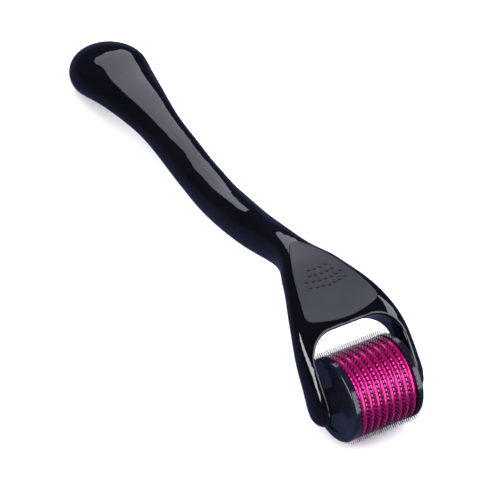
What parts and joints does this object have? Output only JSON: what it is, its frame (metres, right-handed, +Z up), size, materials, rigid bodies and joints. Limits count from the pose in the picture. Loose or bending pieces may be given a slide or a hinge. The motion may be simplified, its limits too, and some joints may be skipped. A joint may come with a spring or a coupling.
{
  "type": "derma roller",
  "caption": "Hand-held micro-needle skin roller: curved two-shell handle with a fork, thumb plate, and a free-turning drum of toothed steel discs between ribbed spacer rings.",
  "frame": {"origin": "bottom centre of the bounding box, as the roller lies on a flat surface on its drum and the end of its tail, thumb plate up", "axes": "+X along the axle of the drum, +Y from the drum towards the tail of the handle, +Z up, out of the thumb plate"},
  "size_m": [0.0322, 0.15, 0.029],
  "materials": {
    "handle_black": "high gloss moulded",
    "plate_grey": "satin moulded",
    "cap_black": "gloss moulded",
    "drum_magenta": "gloss moulded",
    "core_magenta": "moulded",
    "needle_steel": "etched and polished",
    "pin_steel": "drawn"
  },
  "bodies": {
    "handle": {"handle_front_shell": "handle_black", "handle_back_shell": "handle_black", "thumb_plate": "plate_grey"},
    "drum": {"axle_pin": "pin_steel", "roller_core": "core_magenta", "left_end_cap": "cap_black", "right_end_cap": "cap_black", "needle_disc_1": "needle_steel", "needle_disc_2": "needle_steel", "needle_disc_3": "needle_steel", "needle_disc_4": "needle_steel", "needle_disc_5": "needle_steel", "needle_disc_6": "needle_steel", "needle_disc_7": "needle_steel", "needle_disc_8": "needle_steel", "needle_disc_9": "needle_steel", "spacer_ring_1": "drum_magenta", "spacer_ring_2": "drum_magenta", "spacer_ring_3": "drum_magenta", "spacer_ring_4": "drum_magenta", "spacer_ring_5": "drum_magenta", "spacer_ring_6": "drum_magenta", "spacer_ring_7": "drum_magenta", "spacer_ring_8": "drum_magenta"}
  },
  "joints": [
    {"name": "drum_spin", "type": "hinge", "parent": "handle", "child": "drum", "pos_m": [0, -0.06302, 0.012], "axis": [1, 0, 0], "continuous": true}
  ]
}
